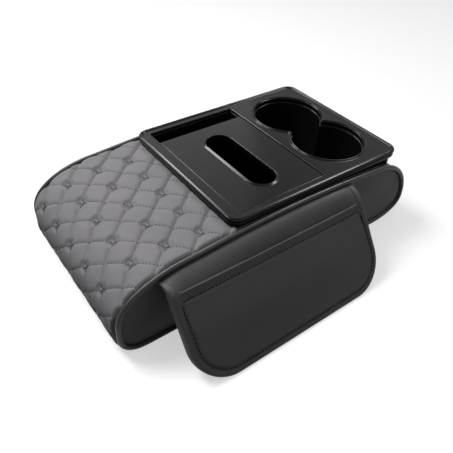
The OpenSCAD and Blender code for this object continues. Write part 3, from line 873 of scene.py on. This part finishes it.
# Other covers and the piping
def rear_cover():
    """The plain cover behind the quilting, with an opening under the tray."""
    first = cover_run_at(COVER_SPLIT + COVER_GAP)
    hole_s0, hole_s1 = cover_run_at(TRAY_HOLE_X0), cover_run_at(TRAY_HOLE_X1)
    s = np.concatenate([np.linspace(first, hole_s0, 6), np.linspace(hole_s0, hole_s1, 130)[1:],
                        np.linspace(hole_s1, COVER.length, 90)[1:]])
    y = np.concatenate([np.linspace(-COVER_HW, -TRAY_HOLE_HW, 14),
                        np.linspace(-TRAY_HOLE_HW, TRAY_HOLE_HW, 70)[1:-1],
                        np.linspace(TRAY_HOLE_HW, COVER_HW, 14)])
    s_mid, y_mid = (s[1:] + s[:-1])[:, None] / 2, (y[1:] + y[:-1])[None, :] / 2
    keep = ~((s_mid > hole_s0) & (s_mid < hole_s1) & (np.abs(y_mid) < TRAY_HOLE_HW))
    s, y = np.meshgrid(s, y, indexing="ij")
    rear = smooth_step(hole_s1, hole_s1 + 30 * MM, s)
    crown = 0.5 * MM * (1 - np.abs(y / COVER_HW) ** 6)
    creases = 0.5 * MM * rear * waves(s, y, 60 * MM, 5)
    mesh = mesh_of_grid("rear_cover", COVER.place(s, y, tuck(y) + crown + creases), keep=keep)
    piece = finish_piece(mesh, "rear_skin", black_leather, "rear_cover")
    thicken(piece, COVER_T)


def piping(name, y):
    """A cord in a leatherette sleeve, all round one side of the pad."""
    line = Route(pad_outline(PIPING_R), closed=True)
    sides = 18
    s = np.linspace(0, line.length, 520, endpoint=False)[:, None]
    turn = (2 * np.pi * np.arange(sides) / sides)[None, :]
    radius = PIPING_R * (0.992 + 0.006 * waves(s, 0 * s, 18 * MM, 9))
    points = line.place(s, y + radius * np.sin(turn), radius * np.cos(turn))
    mesh = mesh_of_grid(name, points, close_rows=True, close_columns=True)
    finish_piece(mesh, name + "_cord", piping_leather, name)


def side_panel(name, side):
    """A leatherette panel that swells a little inside the piping."""
    loop = Route(pad_outline(SIDE_IN), closed=True).line
    left, right = loop[:, 0].min(), loop[:, 0].max()
    x = (left + right) / 2 - (right - left) / 2 * np.cos(np.linspace(0.035, np.pi - 0.035, 150))
    tops, lows = [], []
    for value in x:
        cut = []
        for a, b in zip(loop, np.roll(loop, -1, 0)):
            if (a[0] - value) * (b[0] - value) <= 0 and a[0] != b[0]:
                cut.append(a[1] + (b[1] - a[1]) * (value - a[0]) / (b[0] - a[0]))
        tops.append(max(cut))
        lows.append(min(cut))
    share = (1 - np.cos(np.linspace(0, np.pi, 50))) / 2
    z = np.array(lows)[:, None] + (np.array(tops) - np.array(lows))[:, None] * share[None, :]
    x = np.broadcast_to(x[:, None], z.shape)
    edge = np.sqrt(((np.stack([x, z], -1)[:, :, None] - loop[None, None]) ** 2).sum(-1)).min(-1)
    step_up = 0.8 * MM * smooth_step(0, 4 * MM, edge)
    crown = 1.3 * MM * smooth_step(2 * MM, 35 * MM, edge)
    creases = 0.35 * MM * waves(x, z, 70 * MM, 21 + side) * smooth_step(2 * MM, 14 * MM, edge)
    out = -0.7 * MM + step_up + crown + creases
    mesh = mesh_of_grid(name, np.stack([x, side * (SIDE_Y + out), z], -1))
    piece = finish_piece(mesh, name + "_skin", black_leather, name)
    thicken(piece, -side * SIDE_T)


# Tray and lid
def cup_outline(grow):
    """Outline of the two joined cup wells, with the ridges between them rounded."""
    r, ridge = CUP_R + grow, CUP_RIDGE_R
    half = math.acos(CUP_Y / (r + ridge))
    ridge_x = math.sqrt((r + ridge) ** 2 - CUP_Y ** 2)
    lean = math.atan2(CUP_Y, ridge_x)
    points = []
    for side in (-1, 1):
        for turn in np.linspace(half, 2 * math.pi - half, 64):
            points.append((CUP_X - side * r * math.sin(turn), side * (CUP_Y - r * math.cos(turn))))
        for turn in np.linspace(-lean, lean, 8)[1:-1]:
            points.append((CUP_X + side * (ridge_x - ridge * math.cos(turn)),
                           -side * ridge * math.sin(turn)))
    return points


def tray():
    """The console tray: rim, top plate, recess, tissue well, phone slot and cup wells in one moulding."""
    shell = Shell()
    outside = rounded_box(TRAY_LOW.x, TRAY_HIGH.x, TRAY_LOW.y, TRAY_HIGH.y, TRAY_R, 14)
    low, top = shell.walls(outside, [(grow * MM, RIM_LOW + z * MM) for grow, z in RIM_SECTION])
    apron = np.array(outside(RIM_SECTION[0][0] * MM))
    shell.join(shell.ring(apron, cover_height_at(apron[:, 0]) - APRON_SINK), low)
    recess_x0, recess_x1 = LID_LOW.x - LID_GAP, LID_HIGH.x + LID_GAP
    recess_y = TRAY_HIGH.y - RIM_W
    recess = rounded_box(recess_x0, recess_x1, -recess_y, recess_y, RECESS_R)
    edge, ledge = shell.walls(recess, [(1.1 * MM, FLANGE_Z), (0.65 * MM, FLANGE_Z - 0.1 * MM),
                                       (0.25 * MM, FLANGE_Z - 0.38 * MM), (0, FLANGE_Z - 1.0 * MM),
                                       (0, LEDGE_Z + 0.3 * MM), (-0.25 * MM, LEDGE_Z)])
    tissue = rounded_box(recess_x0 + LEDGE_W, recess_x1 - LEDGE_W,
                         -recess_y + LEDGE_W, LID_HIGH.y - DIVIDER_T, TISSUE_R)
    phone = rounded_box(recess_x0 + 0.5 * MM, recess_x1 - 0.5 * MM,
                        LID_HIGH.y + 0.3 * MM, recess_y - 0.5 * MM, RECESS_R)
    mouths = []
    for outline, round_over in ((tissue, 0.4 * MM), (phone, 0.2 * MM)):
        mouth, floor_ring = shell.walls(outline, [
            (round_over, LEDGE_Z), (0.3 * round_over, LEDGE_Z - 0.3 * round_over),
            (0, LEDGE_Z - round_over), (0, WELL_FLOOR + 4 * MM), (-0.4 * MM, WELL_FLOOR + 2.2 * MM),
            (-1.2 * MM, WELL_FLOOR + 0.8 * MM), (-1.45 * MM, WELL_FLOOR + 0.3 * MM),
            (-1.49 * MM, WELL_FLOOR)])
        shell.fill(floor_ring)
        mouths.append(mouth)
    shell.fill(ledge, *mouths)
    cups, floor_ring = shell.walls(cup_outline, [(grow * MM, TRAY_TOP - z * MM) for grow, z in CUP_SECTION])
    shell.fill(floor_ring)
    shell.fill(top, edge, cups)
    shell.piece("tray_moulding", tray_plastic, "tray_plastic", "console_tray")


def slot_outline(grow):
    """Outline of the slot in the lid, with round ends."""
    x, y = (LID_LOW.x + LID_HIGH.x) / 2, (LID_LOW.y - LID_GAP + LID_HIGH.y) / 2
    r = SLOT_W / 2 + grow
    straight = (LID_HIGH.y - LID_LOW.y + LID_GAP) / 2 - SLOT_END - SLOT_W / 2
    points = []
    for side in (1, -1):
        for turn in np.linspace(0, math.pi, 25):
            points.append((x + side * r * math.cos(turn), y + side * (straight + r * math.sin(turn))))
    return points


def lid():
    """The lift-off lid of the tissue well, with a raised lip round its slot and a rib below."""
    shell = Shell()
    outside = rounded_box(LID_LOW.x, LID_HIGH.x, LID_LOW.y, LID_HIGH.y, LID_R)
    under, top = shell.walls(outside, [(-0.3 * MM, LEDGE_Z), (0, LEDGE_Z + 0.3 * MM),
                                       (0, LID_TOP - 0.9 * MM), (-0.15 * MM, LID_TOP - 0.4 * MM),
                                       (-0.5 * MM, LID_TOP - 0.1 * MM), (-0.9 * MM, LID_TOP)])
    levels = [(grow * MM, LID_TOP + z * MM) for grow, z in LIP_SECTION] + [(LIP_T, LEDGE_Z)]
    mouth, collar = shell.walls(slot_outline, levels)
    shell.fill(top, mouth)
    rib = rounded_box(LID_LOW.x + LEDGE_W, LID_HIGH.x - LEDGE_W, LID_LOW.y + LEDGE_W,
                      LID_HIGH.y - DIVIDER_T - LID_GAP, RIB_R)
    rib_out, rib_in = shell.walls(rib, [(0, LEDGE_Z), (0, LID_LOW.z + 0.2 * MM), (-0.2 * MM, LID_LOW.z),
                                        (-1.4 * MM, LID_LOW.z), (-RIB_T, LID_LOW.z + 0.2 * MM),
                                        (-RIB_T, LEDGE_Z)])
    shell.fill(under, rib_out)
    shell.fill(rib_in, collar)
    shell.piece("lid_moulding", tray_plastic, "tray_plastic", "tissue_lid", body="lid")


# Side pocket
def slope_point(x, s, d):
    """A point of the pocket, from its own axes to the model's."""
    y = SLOPE_TOP[0] - s * math.sin(POCKET_LEAN) + d * math.cos(POCKET_LEAN)
    z = SLOPE_TOP[1] - s * math.cos(POCKET_LEAN) - d * math.sin(POCKET_LEAN)
    return np.stack(np.broadcast_arrays(x, y, z), axis=-1)


def close_at_ends(x0, x1, count):
    """Places from x0 to x1 that lie closer together toward both ends."""
    return (x0 + x1) / 2 - (x1 - x0) / 2 * np.cos(np.linspace(0, np.pi, count))


def panel_grid(inset, top, columns=150, rows=70):
    """Grid over the pocket's face: x, s and the distance to its sewn edge."""
    x0, x1 = POCKET_LOW.x + inset, POCKET_HIGH.x - inset
    foot, r = POCKET_DROP - inset, POCKET_R - inset
    x = close_at_ends(x0, x1, columns)
    into = np.minimum(np.minimum(x - x0, x1 - x), r)
    low = foot - r + np.sqrt(np.maximum(r * r - (r - into) ** 2, 0))
    share = np.sin(np.linspace(0, np.pi / 2, rows))
    s = top + (low - top)[:, None] * share[None, :]
    x = np.broadcast_to(x[:, None], s.shape)
    qx = np.abs(x - (x0 + x1) / 2) - (x1 - x0) / 2 + r
    qs = s - foot + r
    edge = r - np.hypot(np.maximum(qx, 0), np.maximum(qs, 0)) - np.minimum(np.maximum(qx, qs), 0)
    return x, s, edge


def lean_in(s):
    """How far the slack upper edge of the pocket falls back toward the pad."""
    return MOUTH_SLACK * (1 - smooth_step(MOUTH_S, MOUTH_S + MOUTH_SLACK_L, s))


def pocket_front():
    """The slack front panel, turned over at the mouth and drawn in along its seams."""
    x, s, edge = panel_grid(EDGE_W - 0.2 * MM, MOUTH_S)
    mouth = smooth_step(0, 10 * MM, edge)
    seam_side = 1.5 * MM * smooth_step(-1 * MM, 4 * MM, edge)
    crown = 1.4 * MM * smooth_step(0, 40 * MM, edge)
    creases = 0.3 * MM * waves(x, s, 85 * MM, 31) * mouth
    d = 1.1 * MM - seam_side - crown + creases + lean_in(s)
    d = d + dent(s - HEM_SEAM_S, 0.9 * MM, 1.1 * MM) * mouth
    d = d - dent(s - MOUTH_S, 0.8 * MM, 3 * MM) * mouth
    d = d + dent(edge - SEAM_IN, 0.5 * MM, 0.7 * MM)
    half = FRONT_T / 2
    over = np.linspace(np.pi, 0, 9)[:-1]
    fold_s = MOUTH_S + half * (1 - np.sin(over))
    fold_d = half * (1 - np.cos(over))
    front = slope_point(x, s + half * (1 - smooth_step(0, 8 * MM, s - MOUTH_S)), d)
    fold = slope_point(x[:, :1], fold_s[None, :], d[:, :1] + fold_d[None, :])
    inside = slope_point(x[:, :1], np.array([[MOUTH_S + 14 * MM]]), d[:, :1] + FRONT_T)
    mesh = mesh_of_grid("pocket_front", np.concatenate([inside, fold, front], axis=1))
    piece = finish_piece(mesh, "pocket_face", black_leather, "pocket_front")
    ends = []
    for left in np.arange(POCKET_LOW.x + EDGE_W + 3 * MM, POCKET_HIGH.x - EDGE_W - 3 * MM, HEM_PITCH):
        column = np.abs(x[:, 0] - left).argmin()
        row = np.abs(s[column] - HEM_SEAM_S).argmin()
        a, b = slope_point(np.array([left, left + HEM_STITCH]), HEM_SEAM_S, d[column, row] + SEAM_DEEP)
        ends.append((a, b, POCKET_OUT))
    stitches("pocket_stitches", ends, dark_thread, radius=HEM_THREAD_R)


def pocket_hem():
    """The fold sewn behind the mouth's edge."""
    x, s, _ = panel_grid(EDGE_W, HEM_START_S, columns=80, rows=2)
    s = HEM_START_S + HEM_W * np.array([0, 0.02, 0.05, 0.3, 0.7, 1, 1])[None, :]
    d = FRONT_T + HEM_T * np.array([0.0, 0.6, 0.95, 1, 1, 0.9, 0.2])[None, :] + lean_in(s) - 1.0 * MM
    mesh = mesh_of_grid("pocket_hem", slope_point(x[:, :1], s, d))
    piece = finish_piece(mesh, "mouth_hem", black_leather, "pocket_hem")
    thicken(piece, 0.5 * MM, 0)


def roll_line(x, end_s, end_d):
    """Line from the seam under the piping over the roll to a point on the slope, as y and z."""
    t = np.linspace(0, 1, ROLL_STEPS)[None, :]
    seam_z = cover_height_at(x) - 2 * PIPING_R + COVER_DROP - 0.3 * MM
    y0, z0 = -SIDE_Y + 0.2 * MM, seam_z
    end = slope_point(x, end_s, end_d)
    y3, z3 = end[..., 1], end[..., 2]
    y1, z1 = y0 - ROLL_OUT, z0 + ROLL_RISE
    y2, z2 = y3 + ROLL_FALL * math.sin(POCKET_LEAN), z3 + ROLL_FALL * math.cos(POCKET_LEAN)
    weights = ((1 - t) ** 3, 3 * t * (1 - t) ** 2, 3 * t * t * (1 - t), t ** 3)
    return (sum(w * np.asarray(v).reshape(-1, 1) for w, v in zip(weights, values))
            for values in ((y0, y1, y2, y3), (z0, z1, z2, z3)))


def pocket_backing():
    """The rear panel of the pocket and the padded roll that it hangs by."""
    x0, x1 = POCKET_LOW.x + EDGE_W - 3 * MM, POCKET_HIGH.x - EDGE_W + 3 * MM
    x = close_at_ends(x0, x1, 150)
    sewn = 1 - smooth_step(0, ROLL_TAPER, np.minimum(x - x0, x1 - x))
    start = ROLL_END_D - ROLL_END_TUCK * sewn
    y, z = roll_line(x, ROLL_END_S, start)
    middle = np.linspace(0, 1, ROLL_STEPS)[None, :]
    puff = (0.3 * MM * waves(x[:, None], middle * 30 * MM, 50 * MM, 41) + 0.5 * MM) * np.sin(np.pi * middle)
    puff = puff * (1 - sewn[:, None]) - 0.8 * MM * sewn[:, None]
    y, z = y - puff * 0.7, z + puff * 0.7
    roll = np.stack(np.broadcast_arrays(x[:, None], y, z), -1)
    s = np.linspace(ROLL_END_S, POCKET_DROP - EDGE_W, 24)[None, 1:]
    start = start[:, None]
    d = start + (BACKING_D - start) * smooth_step(ROLL_END_S, 50 * MM, s)
    panel = slope_point(x[:, None], s, d)
    corner = POCKET_R - EDGE_W
    from_side = np.minimum(x - POCKET_LOW.x, POCKET_HIGH.x - x)[:, None]
    into = np.maximum(POCKET_R - from_side, 0)
    limit = POCKET_DROP - EDGE_W - corner + np.sqrt(np.maximum(corner ** 2 - into ** 2, 0))
    rows_s = np.concatenate([np.zeros(ROLL_STEPS), s[0]])[None, :]
    keep = (rows_s[:, 1:] <= limit[:-1]) & (rows_s[:, 1:] <= limit[1:])
    mesh = mesh_of_grid("pocket_backing", np.concatenate([roll, panel], axis=1), keep=keep)
    piece = finish_piece(mesh, "pocket_roll", black_leather, "pocket_backing")


def pocket_binding():
    """The padded edge strip round the pocket, from the piping down one side, along the foot and up again."""
    inward, depth = (np.array(STRIP_SECTION) * MM).T
    straight = 40
    level = straight - 1
    bend = np.linspace(0, np.pi / 2, 24)[1:]
    corner_x, corner_s = POCKET_HALF - POCKET_R, POCKET_DROP - POCKET_R
    x = np.concatenate([np.full(straight, POCKET_HALF), corner_x + POCKET_R * np.cos(bend),
                        np.linspace(corner_x, 0, straight)[1:]])
    s = np.concatenate([np.linspace(EDGE_TOP_S, corner_s, straight), corner_s + POCKET_R * np.sin(bend),
                        np.full(level, POCKET_DROP)])
    out_x = np.concatenate([np.ones(straight), np.cos(bend), np.zeros(level)])
    out_s = np.concatenate([np.zeros(straight), np.sin(bend), np.ones(level)])
    fade = 0.06 + 0.94 * smooth_step(0, 1, np.linspace(0, 1, ROLL_STEPS))
    sections = []
    for side in (-1, 1):
        edge_x = POCKET_MID + side * POCKET_HALF
        y, z = (line[0] for line in roll_line(np.array([edge_x]), EDGE_TOP_S, 0))
        along = np.gradient(np.column_stack([y, z]), axis=0)
        along = along / np.linalg.norm(along, axis=1)[:, None]
        arm = []
        for k in range(ROLL_STEPS - 1):
            deep = depth * fade[k]
            arm.append(np.column_stack([edge_x - side * inward, y[k] - along[k, 1] * deep,
                                        z[k] + along[k, 0] * deep]))
        for k in range(len(x)):
            arm.append(slope_point(POCKET_MID + side * (x[k] - out_x[k] * inward),
                                   s[k] - out_s[k] * inward, depth))
        sections += arm if side < 0 else arm[-2::-1]
    mesh = mesh_of_grid("pocket_binding", above_floor(np.array(sections)))
    piece = finish_piece(mesh, "pocket_edge", black_leather, "pocket_binding")


def edge_stitching():
    """The row of stitches down both sides and along the foot of the pocket's front panel."""
    inset = EDGE_W + SEAM_IN - 1.6 * MM
    side_x, foot_s, r = POCKET_HALF - inset, POCKET_DROP - inset, POCKET_R - EDGE_W
    turn = np.linspace(0, np.pi / 2, 40)
    right = np.column_stack([np.concatenate([[side_x], side_x - r + r * np.cos(turn)]),
                             np.concatenate([[MOUTH_S + 3 * MM], foot_s - r + r * np.sin(turn)])])
    seam = np.vstack([right, right[::-1] * (-1, 1)])
    run = run_along(seam)
    ends = []
    for mark in np.arange(0, run[-1] - EDGE_STITCH, EDGE_PITCH):
        spots_x, spots_s = (np.interp([mark, mark + EDGE_STITCH], run, seam[:, k]) for k in range(2))
        a, b = slope_point(POCKET_MID + spots_x, spots_s, SEAM_DEEP + lean_in(spots_s))
        ends.append((a, b, POCKET_OUT))
    stitches("edge_stitches", ends, dark_thread, radius=EDGE_THREAD_R)


# Underside and inner pieces
def base_cover():
    """The cloth under the pad, with rows of small non-slip dots."""
    low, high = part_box("base_cover")
    shell = Shell()
    cloth = rounded_box(low.x, high.x, low.y, high.y, 6 * MM, 6)
    under, over = shell.walls(cloth, [(-0.8 * MM, 0.5 * MM), (-0.2 * MM, 0.8 * MM), (0, 1.3 * MM),
                                      (-0.2 * MM, 1.9 * MM), (-0.8 * MM, high.z)])
    shell.fill(under)
    shell.fill(over)
    piece = shell.piece("underside", underside_cloth, "base_fabric", "base_cover")
    turn = [2 * math.pi * k / DOT_SIDES for k in range(DOT_SIDES)]
    points, faces = [], []
    for x in np.arange(low.x + DOT_PITCH, high.x - DOT_PITCH / 2, DOT_PITCH):
        for y in np.arange(low.y + DOT_PITCH, high.y - DOT_PITCH / 2, DOT_PITCH):
            rings = [[(x + share * DOT_R * math.cos(a), y + share * DOT_R * math.sin(a), z * MM)
                      for a in turn] for share, z in ((1.0, 0.52), (0.85, 0.2), (0.5, 0.02))]
            add_rings(points, faces, rings, filled=(len(rings) - 1,))
    finish_piece(mesh_of("grip_dots", points, faces), "grip_dots", piping_leather)


def dress_cad():
    """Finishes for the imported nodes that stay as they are."""
    finishes = {"foam_core": foam_material, "base_board": board_material, "pocket_board": board_material,
                "pocket_lining": underside_cloth}
    finishes.update({name: steel_material for name in nodes if name.startswith("tray_screw")})
    for name, material in finishes.items():
        nodes[name].data.materials.clear()
        nodes[name].data.materials.append(material)


# Room and camera
def white_mix(tree, seen, hidden_shader):
    """Shows plain white to the camera and in reflections, and the other shader elsewhere."""
    rays = add_node(tree, "ShaderNodeLightPath").outputs
    camera_or_gloss = combine(tree, "MAXIMUM", rays["Is Camera Ray"], rays["Is Glossy Ray"])
    shown = combine(tree, "MAXIMUM", camera_or_gloss, rays["Is Transmission Ray"])
    return add_node(tree, "ShaderNodeMixShader", {0: shown, 1: hidden_shader, 2: seen}).outputs[0]


def gray(value):
    """A plain gray, as a shader takes it."""
    return (value, value, value, 1)


def floor():
    """A wide pale floor that keeps the armrest's shadow and throws little light back."""
    size = FLOOR_HALF
    mesh = bpy.data.meshes.new("floor")
    corners = [(-size, -size, 0), (size, -size, 0), (size, size, 0), (-size, size, 0)]
    mesh.from_pydata(corners, [], [(0, 1, 2, 3)])
    material = bpy.data.materials.new("pale_floor")
    material.use_nodes = True
    tree = material.node_tree
    tree.nodes.clear()
    pale = add_node(tree, "ShaderNodeBsdfDiffuse", {"Color": gray(FLOOR_PALE)})
    glow = add_node(tree, "ShaderNodeEmission", {"Color": gray(1), "Strength": FLOOR_GLOW})
    both = add_node(tree, "ShaderNodeAddShader", {0: pale.outputs[0], 1: glow.outputs[0]})
    bounce = add_node(tree, "ShaderNodeBsdfDiffuse", {"Color": gray(FLOOR_BOUNCE)})
    mix = white_mix(tree, both.outputs[0], bounce.outputs[0])
    add_node(tree, "ShaderNodeOutputMaterial", {"Surface": mix})
    mesh.materials.append(material)
    plane = bpy.data.objects.new("floor", mesh)
    bpy.context.scene.collection.objects.link(plane)


def world():
    """A white backdrop, with a soft glow on the armrest that grows toward straight above."""
    room = bpy.data.worlds.new("studio")
    bpy.context.scene.world = room
    room.use_nodes = True
    tree = room.node_tree
    tree.nodes.clear()
    bright = add_node(tree, "ShaderNodeBackground", {"Color": gray(1), "Strength": 1.0})
    place = add_node(tree, "ShaderNodeTexCoord").outputs["Generated"]
    height = add_node(tree, "ShaderNodeSeparateXYZ", {"Vector": place}).outputs["Z"]
    rise = combine(tree, "POWER", height, 2.0)
    dome = add_node(tree, "ShaderNodeMapRange", {"Value": rise, "To Min": 0.0, "To Max": DOME_GLOW})
    soft = add_node(tree, "ShaderNodeBackground", {"Color": gray(1), "Strength": dome.outputs["Result"]})
    mix = white_mix(tree, bright.outputs[0], soft.outputs[0])
    add_node(tree, "ShaderNodeOutputWorld", {"Surface": mix})


def softbox(name, place, aim, size, power, lit_faces=True):
    """A studio lamp. Without lit_faces it only shows in what the surfaces reflect."""
    lamp = bpy.data.lights.new(name, "AREA")
    lamp.shape = "RECTANGLE"
    lamp.size, lamp.size_y = size
    lamp.energy = power
    holder = bpy.data.objects.new(name, lamp)
    bpy.context.scene.collection.objects.link(holder)
    holder.location = place
    holder.rotation_mode = "QUATERNION"
    holder.visible_diffuse = lit_faces
    holder.rotation_quaternion = (Vector(aim) - Vector(place)).to_track_quat("-Z", "Y")


def camera():
    """The photograph's camera."""
    up = CAMERA_BACK.cross(CAMERA_RIGHT).normalized()
    right = up.cross(CAMERA_BACK).normalized()
    turn = Matrix((right, up, CAMERA_BACK.normalized())).transposed().to_4x4()
    data = bpy.data.cameras.new("photo_camera")
    data.sensor_width = SENSOR
    data.lens = PHOTO_FOCUS / PHOTO_SIDE * SENSOR
    data.clip_start = 0.01
    holder = bpy.data.objects.new("photo_camera", data)
    bpy.context.scene.collection.objects.link(holder)
    holder.matrix_world = Matrix.Translation(CAMERA_PLACE) @ turn
    bpy.context.scene.camera = holder


camera()
floor()
world()
softbox("key", (-0.44, 0.5, 1.1), aim=(0, 0, 0.05), size=(0.5, 0.4), power=13)
softbox("fill", (0.4, -0.7, 0.95), aim=(0, 0, 0.05), size=(0.5, 0.5), power=1.7)
softbox("flat_glow", (0.42, 0.86, 0.8), aim=(0, 0, 0.1), size=(0.6, 0.5), power=1.0, lit_faces=False)
softbox("left_edge_glow", (0.04, 0.8, 0.93), aim=(0, 0, 0.1), size=(0.6, 0.25), power=18, lit_faces=False)
softbox("nose_glow", (-0.68, 0.95, 0.62), aim=(-0.15, 0, 0.07), size=(0.6, 0.4), power=9, lit_faces=False)
softbox("near_edge_glow", (0.8, 0.1, 0.96), aim=(0.05, 0, 0.1), size=(0.6, 0.25), power=14, lit_faces=False)
bpy.context.scene.view_settings.view_transform = "Standard"

quilted_cover()
quilt_stitching()
tufts()
rear_cover()
piping("piping_near", -PIPING_Y)
piping("piping_far", PIPING_Y)
side_panel("side_panel_near", -1)
side_panel("side_panel_far", 1)
tray()
lid()
pocket_backing()
pocket_hem()
pocket_front()
pocket_binding()
edge_stitching()
base_cover()
dress_cad()
